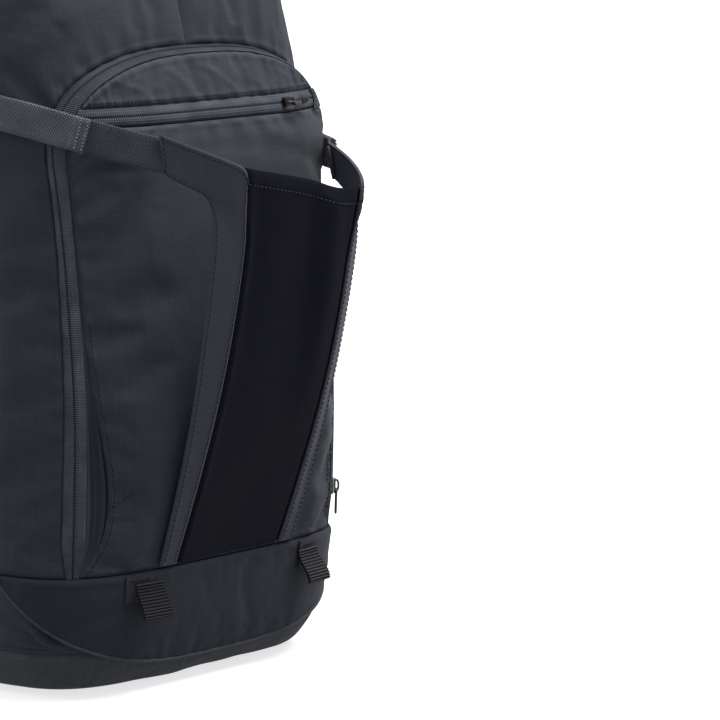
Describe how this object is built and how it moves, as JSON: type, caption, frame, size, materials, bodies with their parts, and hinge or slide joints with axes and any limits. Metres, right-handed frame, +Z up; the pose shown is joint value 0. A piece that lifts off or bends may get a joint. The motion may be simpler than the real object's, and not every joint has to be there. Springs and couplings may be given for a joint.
{
  "type": "mountain bike backpack",
  "caption": "Soft-walled backpack with a zipped arched front compartment, a stretch carrier flap held off the front by side straps, and padded shoulder straps.",
  "frame": {"origin": "middle of the flat base, on the surface that the pack stands on", "axes": "+Z up, -Y out of the pack's front with the carrier flap, +Y towards the wearer, -X at the wearer's left"},
  "size_m": [0.2672, 0.3127, 0.473],
  "materials": {
    "shell_cloth": "fine ripstop weave, low sheen",
    "panel_cloth": "plain weave, matt",
    "base_cloth": "coarse hard-wearing weave, matt",
    "stretch_cloth": "knitted stretch cloth, matt",
    "zip_tape": "coated reverse-coil tape, satin",
    "webbing": "ribbed polyester webbing",
    "ribbed_webbing": "coarse ribbed webbing",
    "padding": "foam covered with cloth",
    "plastic": "moulded, fine texture",
    "metal": "dark plated"
  },
  "bodies": {
    "root": {"wrap_left": "shell_cloth", "wrap_right": "shell_cloth", "lower_side_left": "shell_cloth", "lower_side_right": "shell_cloth", "gusset_left": "panel_cloth", "gusset_right": "panel_cloth", "carrier_arm_left": "panel_cloth", "carrier_arm_right": "panel_cloth", "carrier_strap_left": "webbing", "carrier_strap_right": "webbing", "strap_fold_left": "webbing", "strap_fold_right": "webbing", "tab_patch_left": "ribbed_webbing", "tab_patch_right": "ribbed_webbing", "ribbed_tab_left": "ribbed_webbing", "ribbed_tab_right": "ribbed_webbing", "shoulder_strap_left": "padding", "shoulder_strap_right": "padding", "shoulder_webbing_left": "webbing", "shoulder_webbing_right": "webbing", "ladder_lock_left": "plastic", "ladder_lock_right": "plastic", "lid": "shell_cloth", "base_panel": "base_cloth", "back_panel": "padding", "lower_band": "panel_cloth", "front_upper": "panel_cloth", "front_lower": "panel_cloth", "pocket_zip": "zip_tape", "arch_zip": "zip_tape", "pocket_zip_slider": "metal", "pocket_zip_pull": "metal", "arch_zip_slider": "metal", "zip_garage": "panel_cloth", "carrier_panel": "stretch_cloth", "haul_loop": "webbing"}
  },
  "joints": []
}
